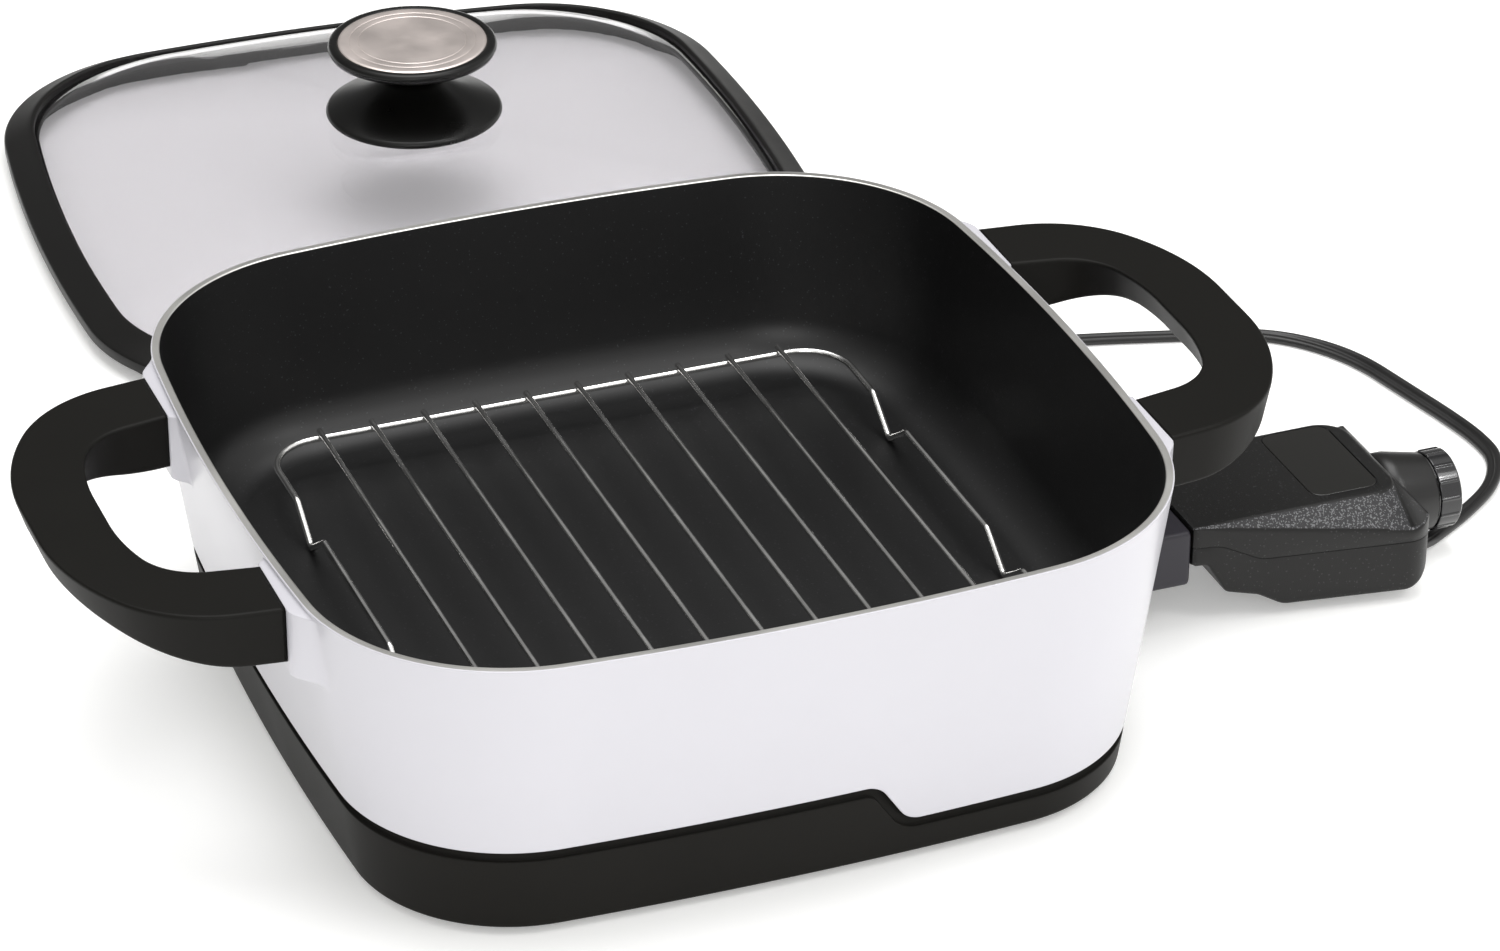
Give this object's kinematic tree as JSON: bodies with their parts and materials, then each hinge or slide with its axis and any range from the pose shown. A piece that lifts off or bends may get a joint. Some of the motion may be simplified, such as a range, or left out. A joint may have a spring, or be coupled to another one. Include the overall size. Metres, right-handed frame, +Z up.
{
  "type": "electric skillet",
  "caption": "Square electric skillet with loop handles, wire rack, plug-in temperature control with dial and cord, and a loose glass lid with knob.",
  "frame": {"origin": "middle of the pan at counter level, under the feet", "axes": "+Z up, +X towards the temperature control, +Y towards the lid behind the pan"},
  "size_m": [0.5622, 0.6818, 0.109],
  "materials": {
    "pan": "cast, glossy pale coating outside, black nonstick coating inside",
    "base_plastic": "satin black moulded plastic",
    "handle_plastic": "satin black phenolic",
    "guard_plastic": "satin black phenolic",
    "control_plastic": "finely textured black plastic",
    "dial_gloss": "glossy black plastic",
    "knob_plastic": "glossy black phenolic",
    "window": "smoked clear plastic",
    "display": "liquid crystal module",
    "board": "circuit board",
    "relay": "moulded component case",
    "rubber": "matt black rubber",
    "cord_rubber": "satin black cord jacket",
    "screw_steel": "zinc-plated steel",
    "probe_steel": "drawn stainless steel",
    "element_sheath": "dull heated steel sheath",
    "contact_brass": "formed brass",
    "ceramic": "white steatite",
    "rack_wire": "plated wire",
    "knob_disc": "spun steel disc",
    "lid_glass": "clear tempered glass",
    "lid_rim": "moulded black rim"
  },
  "bodies": {
    "skillet": {"pan": "pan", "base_skirt": "base_plastic", "base_screws": "screw_steel", "base_feet": "rubber", "handle_right": "handle_plastic", "handle_left": "handle_plastic", "handle_screws": "screw_steel", "heating_element": "element_sheath", "terminal_pins": "screw_steel", "terminal_insulators": "ceramic", "socket_guard": "guard_plastic", "guard_screws": "screw_steel"},
    "rack": {"rack_frame": "rack_wire", "rack_cross_wires": "rack_wire"},
    "control": {"control_housing_top": "control_plastic", "control_housing_bottom": "control_plastic", "control_window": "window", "control_display": "display", "control_board": "board", "control_relay": "relay", "control_screws": "screw_steel", "connector_block": "control_plastic", "socket_contacts": "contact_brass", "probe_rod": "probe_steel", "dial_encoder": "relay", "strain_relief": "cord_rubber", "power_cord": "cord_rubber", "plug_body": "cord_rubber", "plug_blades": "contact_brass"},
    "dial": {"control_dial": "dial_gloss", "dial_shaft": "probe_steel"},
    "lid": {"lid_glass": "lid_glass", "lid_rim": "lid_rim", "knob_flange": "knob_plastic", "knob_grip": "knob_plastic", "knob_disc": "knob_disc", "knob_washer": "rubber", "knob_screw": "screw_steel"}
  },
  "joints": [
    {"name": "rack_lift", "type": "slide", "parent": "skillet", "child": "rack", "axis": [0, 0, 1], "range_m": [0, 0.12]},
    {"name": "control_pull", "type": "slide", "parent": "skillet", "child": "control", "axis": [1, 0, 0], "range_m": [0, 0.1]},
    {"name": "dial_turn", "type": "hinge", "parent": "control", "child": "dial", "pos_m": [0.295, -0.01, 0.0201], "axis": [1, 0, 0], "continuous": true},
    {"name": "lid_lift", "type": "slide", "parent": "skillet", "child": "lid", "axis": [0, 0, 1], "range_m": [0, 0.15]}
  ]
}
